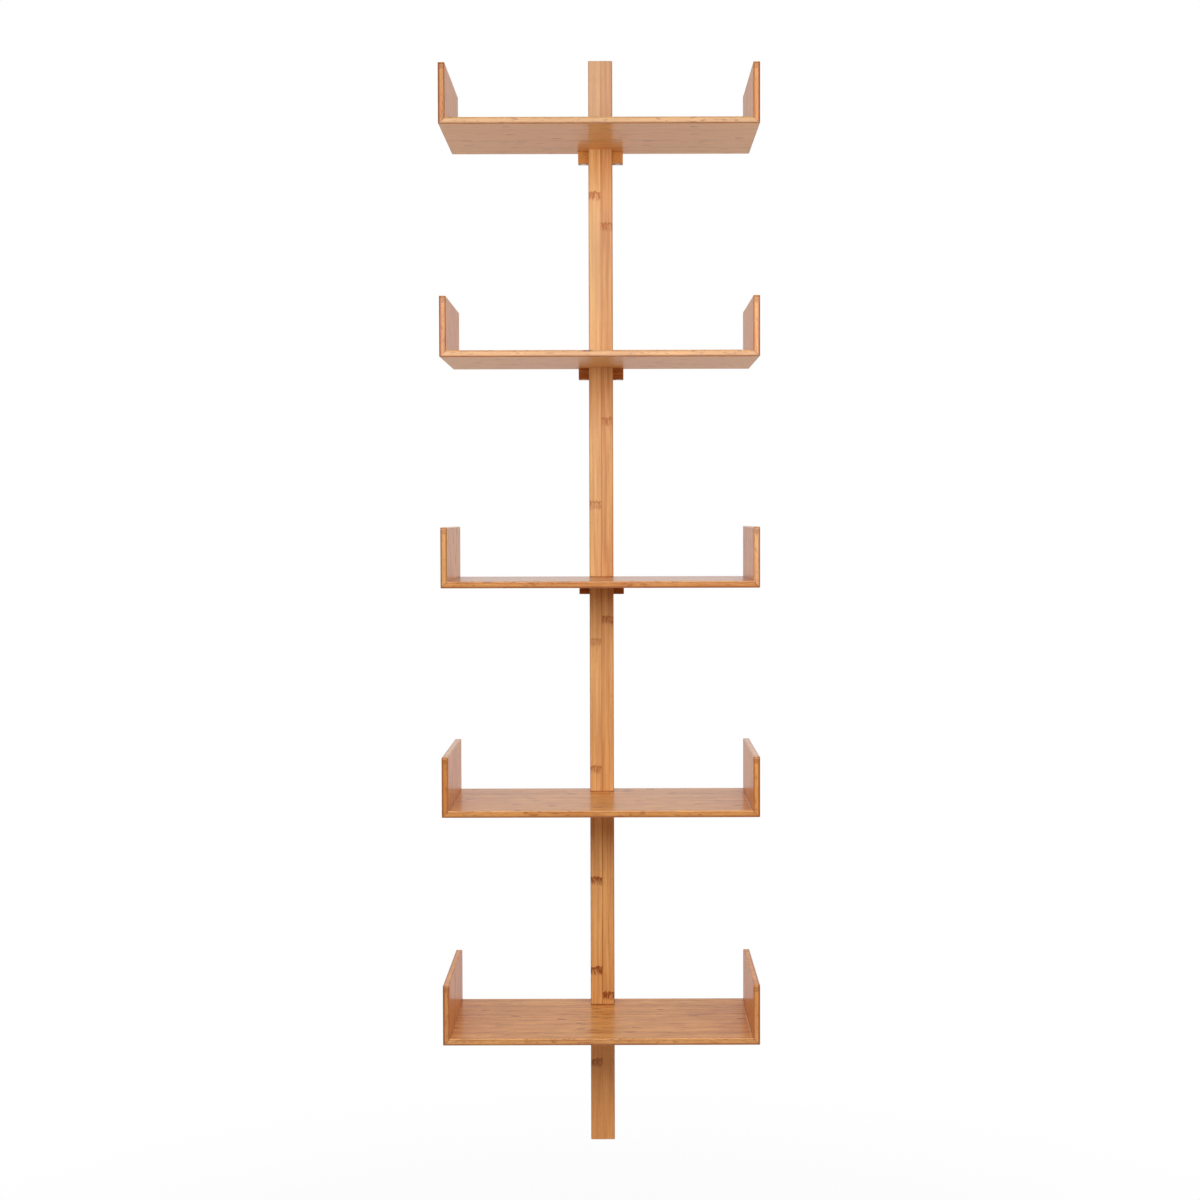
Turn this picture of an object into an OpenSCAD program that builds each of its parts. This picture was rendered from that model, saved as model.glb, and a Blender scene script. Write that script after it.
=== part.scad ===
// Wall shelf: five open trays on one post, hung from two keyhole plates at its back.
// X runs across the trays, Y from the front to the wall, Z up. The wall plane is Y = 0.
// The origin is midway between the two keyhole plates.

/* [Trays] */
// Outer width of a tray
tray_width = 400; // [320:10:600]
// Depth of a tray from its front edge to the wall
tray_depth = 200; // [160:5:260]
// Height of a side panel, measured from the underside of the board
tray_height = 76.5; // [60:0.5:120]
// Thickness of boards and side panels
board_thickness = 8.5; // [8:0.5:12]
// Height from one tray to the next
tray_pitch = 288.5; // [240:0.5:340]
// Rounding along the edges of boards and side panels
edge_radius = 1.5; // [0.6:0.1:2]
// Rounding of the side panels' upper corners, seen from the side
corner_radius = 3; // [2:0.5:12]

/* [Post] */
// Width of the post
post_width = 32; // [30:1:38]
// Depth of the post from its front face to the wall
post_depth = 34; // [32:1:44]
// Rounding along the post's four long edges
post_edge_radius = 1.8; // [0.8:0.1:3]
// Rounding around the post's two ends
post_end_radius = 1.2; // [0.6:0.1:2]
// Height of the post above the underside of the top board
post_rise = 116.5; // [105:0.5:220]
// Length of the post below the underside of the bottom board
post_drop = 175; // [40:1:260]

/* [Housed joint] */
// Width of the neck that is left in the post where a board is let in
neck_width = 24; // [20:1:26]
// Radius of the round relief in the inner corners of a board's notch
relief_radius = 2; // [1.5:0.1:3]
// Play above a board in its housing
housing_play = 0.3; // [0.2:0.1:0.6]

/* [Cross blocks] */
// Width of a cross block
block_width = 60; // [54:1:90]
// Height of a cross block
block_height = 15; // [12:0.5:20]
// Depth of a cross block, let into the back of the post
block_depth = 16.5; // [14:0.5:18]
// Rounding along the edges of a cross block
block_edge_radius = 0.8; // [0.4:0.1:1.5]

/* [Mitre tongues] */
// Thickness of the loose tongue in a mitre
tongue_thickness = 2; // [1.5:0.1:2.2]
// Width of the loose tongue across a mitre
tongue_width = 6.4; // [5:0.1:6.8]
// Distance from the tongue's ends to the front and rear edges
tongue_setback = 14; // [8:1:30]

/* [Screws] */
// Shank diameter of the board and block screws
screw_diameter = 3.5; // [3:0.1:4]
// Head diameter of the board and block screws
screw_head = 6.8; // [6.2:0.1:8]
// Length of the screws that hold a board to its block
board_screw_length = 20; // [17.5:0.5:22]
// Length of the screws that hold a block to the post
block_screw_length = 28; // [24:1:30]
// Play around a screw's shank in its hole
screw_play = 0.15; // [0.1:0.05:0.3]

/* [Wall hangers] */
// Height of a keyhole plate's middle above the underside of its tray's board
hanger_rise = 60; // [50:1:64]
// Length of a keyhole plate
plate_length = 64; // [60:1:76]
// Width of a keyhole plate
plate_width = 17; // [15:0.5:20]
// Thickness of a keyhole plate
plate_thickness = 1.8; // [1.5:0.1:2.5]
// Width of the slot that the wall screw's shank rises into
slot_width = 4.6; // [4:0.1:5]
// Length of that slot from end to end
slot_length = 30; // [26:1:32]
// Diameter of the round opening that the wall screw's head goes through
entry_diameter = 9.5; // [8.5:0.1:10.5]
// Depth of the pocket behind a plate, from the wall plane
pocket_depth = 12; // [9:0.5:15]
// Shank diameter of the plate screws
plate_screw_diameter = 3; // [2.6:0.1:3.4]
// Head diameter of the plate screws
plate_screw_head = 5.8; // [5.2:0.1:6.4]
// Length of the plate screws
plate_screw_length = 16; // [12:1:20]

/* [Hidden] */
// The number of trays
tray_count = 5;
tray_numbers = [1:tray_count];
// Names of the nodes
function numbered(name) = [for (i = tray_numbers) str(name, "_", i)];
// Heights of the boards' undersides, counted from the top tray down
function tray_z(i) = ((tray_count + 1) / 2 - i) * tray_pitch - hanger_rise;
// Ends of the post
post_top = tray_z(1) + post_rise;
post_foot = tray_z(tray_count) - post_drop;
post_length = post_top - post_foot;
// The inner edge of a side panel
inner_half = tray_width / 2 - board_thickness;
// Where the tongue crosses the mitre, as a share of the board's thickness from the outer corner
tongue_share = 0.56;
tongue_centre = tongue_share * board_thickness;
tongue_length = tray_depth - 2 * tongue_setback;
// Room past the tongue's edges in its two grooves
tongue_play = 0.3;
// The board screws stand in the middle of the ears that the block has beside the post
ear_centre = (post_width + block_width) / 4;
// Height of a countersunk head, from the 90 degree cone
screw_head_height = (screw_head - screw_diameter) / 2;
plate_screw_head_height = (plate_screw_head - plate_screw_diameter) / 2;
// Length of a screw's point
point_share = 1.2;
// Distance from a plate's middle to its screws
plate_screw_offset = plate_length / 2 - plate_screw_head;
// The pocket behind a plate clears the wall screw's head all around the slot
pocket_play = 0.5;
pocket_width = entry_diameter + 2 * pocket_play;
pocket_length = slot_length + entry_diameter - slot_width + 2 * pocket_play;
// Play around a plate in its recess
recess_play = 0.3;
// Reach of a cut past the surface it opens
past = 1;
bamboo_light = [0.86, 0.63, 0.40];
bamboo_board = [0.78, 0.59, 0.44];
bamboo_panel = [0.80, 0.60, 0.43];
bamboo_dark = [0.47, 0.27, 0.12];
plywood = [0.70, 0.52, 0.33];
zinc = [0.72, 0.72, 0.70];
steel = [0.62, 0.63, 0.65];
$fn = 48;

// A rectangle from one corner to the other, with its four corners rounded
module rounded_rectangle(from, to, r) {
    translate([from.x + r, from.y])
        square([to.x - from.x - 2 * r, to.y - from.y]);
    translate([from.x, from.y + r])
        square([to.x - from.x, to.y - from.y - 2 * r]);
    for (x = [from.x + r, to.x - r], y = [from.y + r, to.y - r])
        translate([x, y])
            circle(r = r);
}

// A slot outline along Y, rounded at both ends
module slot_outline(width, length) {
    square([width, length - width], center = true);
    for (side = [-1, 1])
        translate([0, side * (length - width) / 2])
            circle(d = width);
}

// An outline drawn in X and Z, drawn out from the front edge to the wall
module run_back(depth) {
    rotate([90, 0, 0])
        linear_extrude(depth)
            children();
}

// An outline drawn in Y and Z, drawn out across the width
module run_across(width) {
    translate([-width / 2, 0, 0])
        rotate([90, 0, 90])
            linear_extrude(width)
                children();
}

// Front view of a whole tray's outside, rounded at its lower corners
module tray_outline() {
    rounded_rectangle([-tray_width / 2, 0], [tray_width / 2, tray_height], edge_radius);
}

// The groove or body of the tongue in the left mitre, lying across the joint face
module mitre_tongue(width, length) {
    translate([-tray_width / 2 + tongue_centre, -tray_depth / 2, tongue_centre])
        rotate([0, 45, 0])
            cube([width, length, tongue_thickness], center = true);
}

// The grooves cut for both tongues of a tray
module tongue_grooves() {
    for (side = [0, 1])
        mirror([side, 0, 0])
            mitre_tongue(tongue_width + 2 * tongue_play, tongue_length + 2 * tongue_play);
}

// The notch at the middle of the rear edge, with a round relief in each inner corner
module board_notch() {
    translate([-neck_width / 2, -post_depth, -past])
        cube([neck_width, post_depth + past, board_thickness + 2 * past]);
    for (side = [-1, 1])
        translate([side * (neck_width / 2 - relief_radius), -post_depth, -past])
            cylinder(r = relief_radius, h = board_thickness + 2 * past);
}

// The two holes for the board screws, drilled up from a block's underside
module board_screw_holes() {
    for (side = [-1, 1])
        translate([side * ear_centre, -block_depth / 2, -block_height])
            screw_hole(screw_diameter, screw_head, board_screw_length);
}

// A shelf board, mitred at both ends
module board(i) {
    color(bamboo_board)
        translate([0, 0, tray_z(i)])
            difference() {
                intersection() {
                    run_back(tray_depth)
                        intersection() {
                            tray_outline();
                            polygon([
                                [-tray_width / 2, 0],
                                [tray_width / 2, 0],
                                [inner_half, board_thickness],
                                [-inner_half, board_thickness]
                            ]);
                        }
                    run_across(tray_width)
                        rounded_rectangle([-tray_depth, 0], [0, board_thickness], edge_radius);
                }
                board_notch();
                tongue_grooves();
                board_screw_holes();
            }
}

// The left side panel of a tray, mitred at its foot
module side_panel() {
    difference() {
        intersection() {
            run_back(tray_depth)
                intersection() {
                    tray_outline();
                    rounded_rectangle(
                        [-tray_width / 2, -tray_height],
                        [-inner_half, tray_height],
                        edge_radius
                    );
                    polygon([
                        [-tray_width / 2, 0],
                        [-inner_half, board_thickness],
                        [-inner_half, tray_height],
                        [-tray_width / 2, tray_height]
                    ]);
                }
            run_across(tray_width)
                rounded_rectangle([-tray_depth, -tray_height], [0, tray_height], corner_radius);
            linear_extrude(tray_height)
                rounded_rectangle([-tray_width / 2, -tray_depth], [-inner_half, 0], edge_radius);
        }
        tongue_grooves();
    }
}

module left_panel(i) {
    color(bamboo_panel)
        translate([0, 0, tray_z(i)])
            side_panel();
}

module right_panel(i) {
    color(bamboo_panel)
        translate([0, 0, tray_z(i)])
            mirror([1, 0, 0])
                side_panel();
}

module left_tongue(i) {
    color(plywood)
        translate([0, 0, tray_z(i)])
            mitre_tongue(tongue_width, tongue_length);
}

module right_tongue(i) {
    color(plywood)
        translate([0, 0, tray_z(i)])
            mirror([1, 0, 0])
                mitre_tongue(tongue_width, tongue_length);
}

// A countersunk wood screw standing on its head, with its point up
module screw(diameter, head, length) {
    head_height = (head - diameter) / 2;
    point = point_share * diameter;
    rotate_extrude()
        polygon([
            [0, 0],
            [head / 2, 0],
            [diameter / 2, head_height],
            [diameter / 2, length - point],
            [0, length]
        ]);
}

// The hole for such a screw: a countersink that the head fits, then play around the shank
module screw_hole(diameter, head, length) {
    head_height = (head - diameter) / 2;
    reach = head_height - screw_play;
    translate([0, 0, -past])
        cylinder(d = head, h = past);
    rotate_extrude()
        polygon([
            [0, 0],
            [head / 2, 0],
            [head / 2 - reach, reach],
            [head / 2 - reach, length + screw_play],
            [0, length + screw_play]
        ]);
}

// The two screws of each tray that hold its board to its block
module board_screws() {
    color(zinc)
        for (i = tray_numbers, side = [-1, 1])
            translate([side * ear_centre, -block_depth / 2, tray_z(i) - block_height])
                screw(screw_diameter, screw_head, board_screw_length);
}

// The place of a block's own screw, on the wall plane and pointing to the front
module at_block_screw(i) {
    translate([0, 0, tray_z(i) - block_height / 2])
        rotate([90, 0, 0])
            children();
}

// The screws that hold each block to the post
module block_screws() {
    color(zinc)
        for (i = tray_numbers)
            at_block_screw(i)
                screw(screw_diameter, screw_head, block_screw_length);
}

// A cross block, let into the back of the post under its board
module cross_block(i) {
    color(bamboo_dark)
        difference() {
            translate([0, 0, tray_z(i)])
                intersection() {
                    run_back(block_depth)
                        rounded_rectangle(
                            [-block_width / 2, -block_height],
                            [block_width / 2, 0],
                            block_edge_radius
                        );
                    run_across(block_width)
                        rounded_rectangle([-block_depth, -block_height], [0, 0], block_edge_radius);
                }
            translate([0, 0, tray_z(i)])
                board_screw_holes();
            at_block_screw(i)
                screw_hole(screw_diameter, screw_head, block_screw_length);
        }
}

// The post before anything is cut into it
module post_blank() {
    intersection() {
        translate([0, 0, post_foot])
            linear_extrude(post_length)
                rounded_rectangle(
                    [-post_width / 2, -post_depth],
                    [post_width / 2, 0],
                    post_edge_radius
                );
        run_back(post_depth)
            rounded_rectangle(
                [-post_width / 2, post_foot],
                [post_width / 2, post_top],
                post_end_radius
            );
        run_across(post_width)
            rounded_rectangle([-post_depth, post_foot], [0, post_top], post_end_radius);
    }
}

// The housings on both sides of the neck, and the seat of the cross block behind it
module tray_joint() {
    for (side = [0, 1])
        mirror([side, 0, 0])
            translate([neck_width / 2, -post_depth - past, 0])
                cube([post_width, post_depth + 2 * past, board_thickness + housing_play]);
    translate([-post_width, -block_depth, -block_height])
        cube([2 * post_width, block_depth + past, block_height]);
}

// The places of the two keyhole plates, with their outlines' Y axis turned upward
module at_hanger(i) {
    translate([0, 0, tray_z(i) + hanger_rise])
        rotate([90, 0, 0])
            children();
}

// The recess, pocket and pilot holes behind a keyhole plate
module hanger_seat() {
    translate([0, 0, -past])
        linear_extrude(plate_thickness + past)
            slot_outline(plate_width + 2 * recess_play, plate_length + 2 * recess_play);
    linear_extrude(pocket_depth)
        slot_outline(pocket_width, pocket_length);
    for (side = [-1, 1])
        translate([0, side * plate_screw_offset, 0])
            cylinder(
                d = plate_screw_diameter + 2 * screw_play,
                h = plate_screw_length + screw_play
            );
}

module post() {
    color(bamboo_light)
        difference() {
            post_blank();
            for (i = tray_numbers) {
                translate([0, 0, tray_z(i)])
                    tray_joint();
                at_block_screw(i)
                    screw_hole(screw_diameter, screw_head, block_screw_length);
            }
            for (i = [1, tray_count])
                at_hanger(i)
                    hanger_seat();
        }
}

// A keyhole plate: a round opening with a slot running up and down from it
module hanger_plate() {
    difference() {
        linear_extrude(plate_thickness)
            difference() {
                slot_outline(plate_width, plate_length);
                slot_outline(slot_width, slot_length);
                circle(d = entry_diameter);
            }
        for (side = [-1, 1])
            translate([0, side * plate_screw_offset, 0])
                screw_hole(plate_screw_diameter, plate_screw_head, plate_screw_length);
    }
}

module hanger_upper() {
    color(steel)
        at_hanger(1)
            hanger_plate();
}

module hanger_lower() {
    color(steel)
        at_hanger(tray_count)
            hanger_plate();
}

// The two screws of each keyhole plate
module hanger_screws() {
    color(zinc)
        for (i = [1, tray_count], side = [-1, 1])
            at_hanger(i)
                translate([0, side * plate_screw_offset, 0])
                    screw(plate_screw_diameter, plate_screw_head, plate_screw_length);
}

post();
for (i = tray_numbers) {
    board(i);
    left_panel(i);
    right_panel(i);
    cross_block(i);
    left_tongue(i);
    right_tongue(i);
}
board_screws();
block_screws();
hanger_upper();
hanger_lower();
hanger_screws();
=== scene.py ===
from functools import partial
from math import pi, radians
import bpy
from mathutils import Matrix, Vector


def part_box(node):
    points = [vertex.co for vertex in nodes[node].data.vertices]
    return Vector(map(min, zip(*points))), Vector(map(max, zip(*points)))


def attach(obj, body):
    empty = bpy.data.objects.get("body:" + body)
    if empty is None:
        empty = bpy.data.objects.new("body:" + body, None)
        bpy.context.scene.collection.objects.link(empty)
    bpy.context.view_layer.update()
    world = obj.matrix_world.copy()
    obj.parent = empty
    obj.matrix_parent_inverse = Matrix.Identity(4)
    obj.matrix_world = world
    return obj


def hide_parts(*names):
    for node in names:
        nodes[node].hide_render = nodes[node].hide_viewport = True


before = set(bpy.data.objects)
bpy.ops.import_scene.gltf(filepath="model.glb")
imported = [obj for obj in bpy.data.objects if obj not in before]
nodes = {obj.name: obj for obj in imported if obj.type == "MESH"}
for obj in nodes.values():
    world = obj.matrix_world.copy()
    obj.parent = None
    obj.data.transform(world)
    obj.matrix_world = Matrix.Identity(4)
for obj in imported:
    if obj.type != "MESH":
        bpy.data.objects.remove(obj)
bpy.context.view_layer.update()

from types import SimpleNamespace

import bpy
from mathutils import Matrix, Vector

# The frame is in metres, and the trays are numbered from the topmost down
MM = 0.001
TRAYS = range(1, 6)
SIDES = "left", "right"

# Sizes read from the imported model, in millimetres
undersides = [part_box(f"board_{i}")[0].z / MM for i in TRAYS]
tray_low = undersides[-1]
tray_pitch = undersides[0] - undersides[1]
board_box = [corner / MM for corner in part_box("board_1")]
tray_half = board_box[1].x
tray_depth = -board_box[0].y
thickness = board_box[1].z - board_box[0].z
post_box = [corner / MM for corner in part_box("post")]
post_half = post_box[1].x
post_depth = -post_box[0].y
block_box = [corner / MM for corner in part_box("cross_block_1")]
block_height = block_box[1].z - block_box[0].z
tray_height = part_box("left_panel_1")[1].z / MM - undersides[0]


def linear(code):
    """A linear RGBA colour from an sRGB hex value."""
    channels = [int(code[i:i + 2], 16) / 255 for i in (1, 3, 5)]
    return [c / 12.92 if c <= 0.04045 else ((c + 0.055) / 1.055) ** 2.4 for c in channels] + [1]


def node(tree, kind, inputs=(), out=0, **settings):
    """Adds a shader node with its settings, fills its inputs, and returns one of its outputs."""
    made = tree.nodes.new("ShaderNode" + kind)
    for name, value in settings.items():
        setattr(made, name, value)
    for key, value in inputs.items() if isinstance(inputs, dict) else enumerate(inputs):
        if isinstance(value, bpy.types.NodeSocket):
            tree.links.new(value, made.inputs[key])
        elif value is not None:
            made.inputs[key].default_value = value
    return made.outputs[out] if made.outputs else made


def new_material(name):
    """An empty node material and its tree."""
    material = bpy.data.materials.new(name)
    material.use_nodes = True
    material.node_tree.nodes.clear()
    return material, material.node_tree


def finish_material(tree, inputs):
    """Closes a material with a Principled shader, given its inputs by name."""
    shader = node(tree, "BsdfPrincipled", inputs)
    node(tree, "OutputMaterial", {"Surface": shader})


def dress(material, *names):
    """Gives CAD nodes their material."""
    for name in names:
        slots = nodes[name].data.materials
        slots.clear()
        slots.append(material)


# Bamboo and birch

# The patterns count the trays from below
LOWEST, MIDDLE, TOP = 0.0, 2.0, 4.0
# The trays' board has strips 5.2 mm wide, with the front and rear edges inside a strip
STRIP = tray_depth / 38.5
# The two face plies' thickness in millimetres; the core takes the rest
FACE_PLY = 2.3
# The browns of the sawn edges and of the dark marks
EDGE_BROWN, MARK_BROWN = "#8C3C10", "#7A3C12"
# How strong the flecks are, and the weight of the varnish seen aslant and its roughness
FLECKS, ASLANT, SATIN = 0.36, 0.28, 0.18


def place_in_mm(add):
    """The object coordinates in millimetres, as X, Y and Z."""
    place = add("VectorMath", {0: add("TexCoord", out="Object"), "Scale": 1 / MM}, operation="SCALE")
    split = add("SeparateXYZ", [place]).node
    return split.outputs[0], split.outputs[1], split.outputs[2]


def tray_place(add, z):
    """The number of the tray that a height belongs to, and the height above its underside.

    The lowest tray has number 0.
    """
    raised = add("Math", [z, tray_pitch / 2 - tray_low], operation="ADD")
    number = add("Math", [add("Math", [raised, tray_pitch], operation="DIVIDE")], operation="FLOOR")
    local = add("Math", [number, -tray_pitch, z], operation="MULTIPLY_ADD")
    return number, add("Math", [local, tray_low], operation="SUBTRACT")


def distance(add, place, line):
    """How far a place is from a line, on either side of it."""
    return add("Math", [add("Math", [place, line], operation="SUBTRACT")], operation="ABSOLUTE")


def stretched(add, place, sizes):
    """A place scaled so that a pattern has these sizes in millimetres, one for each direction."""
    return add("CombineXYZ", [add("Math", [measure, 1 / size], operation="MULTIPLY")
                              for measure, size in zip(place, sizes)])


def grain_place(add, place, long, wide):
    """A place scaled so that a pattern is long along the grain and wide across it."""
    return stretched(add, place, (long, wide, wide))


def strip_grain(add, place, cell, tone, long, streaks, band, light, dark):
    """The colour of bamboo strips, their fibre pattern and their flecks, each from 0 to 1.

    cell tells one strip from the next, and tone lifts or lowers a strip. streaks is the
    strength of the streaks of dense wood, which are long millimetres long, and band that
    of the broad bands that run over several strips.
    """
    chance = add("TexWhiteNoise", {"Vector": cell}, noise_dimensions="3D").node.outputs["Color"]
    shift = add("VectorMath", {0: chance, "Scale": 500.0}, operation="SCALE")
    # Vessels are about 0.3 mm across, and are drawn 1.2 mm across so that they show
    fine = add("VectorMath", [grain_place(add, place, 60, 1.2), shift], operation="ADD")
    fibre = add("TexNoise", {"Vector": fine, "Scale": 1.0, "Detail": 3.0, "Roughness": 0.6})
    # Streaks of denser wood, about 3.5 mm across
    broad = add("VectorMath", [grain_place(add, place, long, 3.5), shift], operation="ADD")
    streak = add("TexNoise", {"Vector": broad, "Scale": 1.0, "Detail": 2.0, "Roughness": 0.5})
    level = add("Math", [fibre, 0.7, tone], operation="MULTIPLY_ADD")
    level = add("Math", [add("Math", [streak, 0.5], operation="SUBTRACT"), streaks, level],
                operation="MULTIPLY_ADD")
    wide = add("TexNoise", {"Vector": grain_place(add, place, 1.5 * long, 14), "Scale": 1.0,
                            "Detail": 2.0, "Roughness": 0.6})
    level = add("Math", [add("Math", [wide, 0.5], operation="SUBTRACT"), band, level],
                operation="MULTIPLY_ADD")
    level = add("Math", [level, 0.15], operation="ADD")
    colour = add("Mix", {0: level, 6: linear(dark), 7: linear(light)}, 2, data_type="RGBA")
    # Flecks of brown vessel, about 10 mm long
    short = add("VectorMath", [grain_place(add, place, 9, 1.3), shift], operation="ADD")
    fleck = add("TexNoise", {"Vector": short, "Scale": 1.0, "Detail": 0.0})
    fleck = add("MapRange", {0: fleck, 1: 0.66, 2: 0.76, 3: 0.0, 4: 1.0})
    return colour, fibre, fleck


def node_stain(add, place, past, reach, ring_share):
    """The stain of a node, 0 to 1: a scalloped ring, then short dashes that fade over reach.

    past is the distance below the node in millimetres, along the grain.
    """
    scallop = add("TexNoise", {"Vector": grain_place(add, place, 60, 2.6), "Scale": 1.0,
                               "Detail": 0.0})
    below = add("Math", [scallop, 5.0, past], operation="MULTIPLY_ADD")
    below = add("Math", [below, 2.5], operation="SUBTRACT")
    ring = add("MapRange", {0: distance(add, below, 1.2), 1: 0.9, 2: 2.0, 3: ring_share, 4: 0.0})
    # The dashes are about 0.5 mm across, and are drawn 1.8 mm across so that they show
    dash = add("TexNoise", {"Vector": grain_place(add, place, 10, 1.8), "Scale": 1.0, "Detail": 1.0})
    dash = add("MapRange", {0: dash, 1: 0.42, 2: 0.54, 3: 0.3, 4: 1.0})
    rise = add("MapRange", {0: below, 1: 0.0, 2: 1.5})
    fade = add("MapRange", {0: below, 1: reach * 0.5, 2: reach, 3: 1.0, 4: 0.0},
               interpolation_type="SMOOTHSTEP")
    body = add("Math", [rise, fade], operation="MULTIPLY")
    dotted = add("Math", [dash, 0.35, 0.65], operation="MULTIPLY_ADD")
    ring = add("Math", [ring, dotted], operation="MULTIPLY")
    return add("Math", [ring, add("Math", [body, dash], operation="MULTIPLY")], operation="MAXIMUM")


def random_node(add, along, cell, pitch):
    """How far a place is past the last node of its strip, and how strong that node's mark is.

    Nodes come every pitch millimetres, in each strip at another height.
    """
    chance = add("TexWhiteNoise", {"Vector": cell}, noise_dimensions="3D").node.outputs["Color"]
    split = add("SeparateColor", [chance]).node
    start = add("Math", [along, 1 / pitch, split.outputs[1]], operation="MULTIPLY_ADD")
    turn = add("Math", [start], operation="FRACT")
    past = add("Math", [turn, pitch, -3.0], operation="MULTIPLY_ADD")
    strength = add("Math", [split.outputs[2], 1.5], operation="POWER")
    return past, strength


def marked(add, stain, mark, share=1.0):
    """A stain with a share of another mark over it, the stronger of the two at each point."""
    return add("Math", [stain, add("Math", [mark, share], operation="MULTIPLY")],
               operation="MAXIMUM")


def glue_line(add, place, pitch, width, share=1.0):
    """The share within a glue line, and 0 elsewhere.

    The joints lie pitch apart, and the glue shows in every second one.
    """
    off = add("Math", [place, pitch], operation="PINGPONG")
    return add("MapRange", {0: off, 1: width * 0.4, 2: width, 3: share, 4: 0.0})


def bamboo_surface(tree, colour, fibre, stain, seam, ink, varnish):
    """Marks and glue lines over the grain, their relief, and a clear satin varnish over all.

    varnish is its weight seen straight on, aslant and along the face, and its roughness.
    """
    add = partial(node, tree)
    dark = add("Math", [seam, 0.45], operation="MULTIPLY")
    dark = add("Math", [dark, stain], operation="MAXIMUM")
    colour = add("Mix", {0: dark, 6: colour, 7: ink}, 2, data_type="RGBA")
    # Marks stand out by 0.05 mm and the fibre by 0.03 mm, and glue lines lie 0.04 mm deep
    height = add("Math", [stain, 0.05], operation="MULTIPLY")
    height = add("Math", [fibre, 0.03, height], operation="MULTIPLY_ADD")
    height = add("Math", [seam, -0.04, height], operation="MULTIPLY_ADD")
    roughness = add("MapRange", {0: fibre, 1: 0.2, 2: 0.8, 3: 0.40, 4: 0.55})
    bump = add("Bump", {"Strength": 0.6, "Distance": MM, "Height": height})
    wave = add("Bump", {"Strength": 0.12, "Distance": MM, "Height": height})
    straight, aslant, grazing, smoothness = varnish
    facing = add("LayerWeight", {"Blend": 0.5}, "Facing")
    gloss = add("MapRange", {0: facing, 1: 0.1, 2: 0.74, 3: straight, 4: aslant})
    low = add("MapRange", {0: facing, 1: 0.8, 2: 0.97, 3: 0.0, 4: 1.0})
    gloss = add("Mix", {0: low, 2: gloss, 3: grazing})
    finish_material(tree, {
        "Base Color": colour, "Roughness": roughness, "Normal": bump, "Coat Normal": wave,
        "IOR": 1.45, "Specular IOR Level": 0.1,
        "Coat Weight": gloss, "Coat Roughness": smoothness, "Coat IOR": 1.5,
    })


def arris(add, first, second, width):
    """1 on a rounded edge, found by its distance from the two faces that meet there, else 0."""
    far = add("Math", [first, second], operation="ADD")
    return add("MapRange", {0: far, 1: width * 0.6, 2: width * 1.2, 3: 1.0, 4: 0.0})


def tray_measures(add, standing):
    """Where a point lies in a board, or in a standing side panel, in millimetres.

    along runs with the grain and through into the thickness. beyond is how far sideways a
    point is past the panels' inner faces. outer and inner are the distances from the outer
    and the inner face, front that from the front edge, to_edge that from the nearer of the
    front and rear edges, and corner that from the line where the inner faces of board and
    panel meet. seed tells one piece from the next.
    """
    x, y, z = place_in_mm(add)
    number, height_in = tray_place(add, z)
    away = add("Math", [x], operation="ABSOLUTE")
    beyond = add("Math", [away, tray_half - thickness], operation="SUBTRACT")
    right = add("Math", [x, 0.0], operation="GREATER_THAN")
    front = add("Math", [y, tray_depth], operation="ADD")
    if standing:
        along, through = height_in, beyond
        outer = add("Math", [thickness, beyond], operation="SUBTRACT")
        corner = add("Math", [height_in, thickness], operation="SUBTRACT")
        seed = add("Math", [right, 20.0, number], operation="MULTIPLY_ADD")
        seed = add("Math", [seed, 40.0], operation="ADD")
    else:
        along, through, outer, corner, seed = x, height_in, height_in, beyond, number
    return SimpleNamespace(
        x=x, z=z, number=number, height_in=height_in, beyond=beyond, right=right, front=front,
        along=along, through=through, outer=outer, seed=seed,
        inner=add("Math", [thickness, outer], operation="SUBTRACT"),
        corner=add("Math", [corner], operation="ABSOLUTE"),
        to_edge=add("Math", [front, tray_depth / 2], operation="PINGPONG"))


def ply_strips(add, at):
    """The strips of three-ply bamboo: the place in their grain, the cell of each and its tone."""
    across = add("Math", [at.front, STRIP / 2], operation="ADD")
    index = add("Math", [add("Math", [across, STRIP], operation="DIVIDE")], operation="FLOOR")
    low = add("Math", [at.through, FACE_PLY], operation="GREATER_THAN")
    high = add("Math", [at.through, thickness - FACE_PLY], operation="GREATER_THAN")
    layer = add("Math", [low, high], operation="ADD")
    cell = add("CombineXYZ", [index, layer, at.seed])
    core = add("Math", [low, high], operation="SUBTRACT")
    # The sawn edges of the plies are browner than their sanded faces
    depth = add("Math", [at.through, thickness / 2], operation="PINGPONG")
    sawn = add("MapRange", {0: depth, 1: 0.25, 2: 0.5, 3: 0.0, 4: 1.0})
    chance = add("TexWhiteNoise", {"Vector": cell}, noise_dimensions="3D")
    tone = add("Math", [chance, 0.36, -0.18], operation="MULTIPLY_ADD")
    tone = add("Math", [sawn, -0.35, tone], operation="MULTIPLY_ADD")
    tone = add("Math", [core, 0.35, tone], operation="MULTIPLY_ADD")
    return (at.along, across, at.through), cell, tone


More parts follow.
